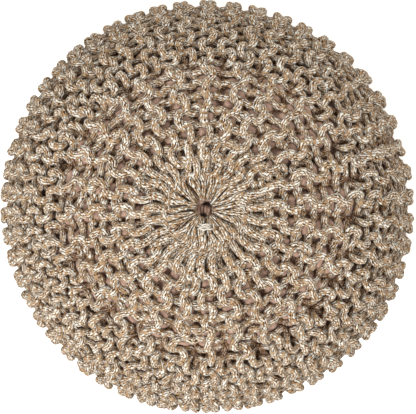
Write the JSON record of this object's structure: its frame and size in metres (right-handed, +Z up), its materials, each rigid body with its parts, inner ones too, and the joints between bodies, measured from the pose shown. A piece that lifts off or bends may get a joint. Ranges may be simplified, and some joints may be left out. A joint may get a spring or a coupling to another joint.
{
  "type": "knitted pouf",
  "caption": "Low round footstool pouf: a chunky garter-stitch yarn cover, gathered round a small eye on top, over a stuffed cloth casing.",
  "frame": {"origin": "centre of the footprint, on the surface that the pouf rests on", "axes": "+Z up through the pouf; the sewn seam of the cover lies about 20 degrees anticlockwise from +X, seen from above"},
  "size_m": [0.4981, 0.4973, 0.3503],
  "materials": {
    "knit_yarn": "matt plied yarn, tan flecked with cream",
    "casing_cloth": "plain matt cloth, dusty brown"
  },
  "bodies": {
    "root": {"knitted_cover": "knit_yarn", "inner_casing": "casing_cloth", "closing_yarn": "knit_yarn"}
  },
  "joints": []
}
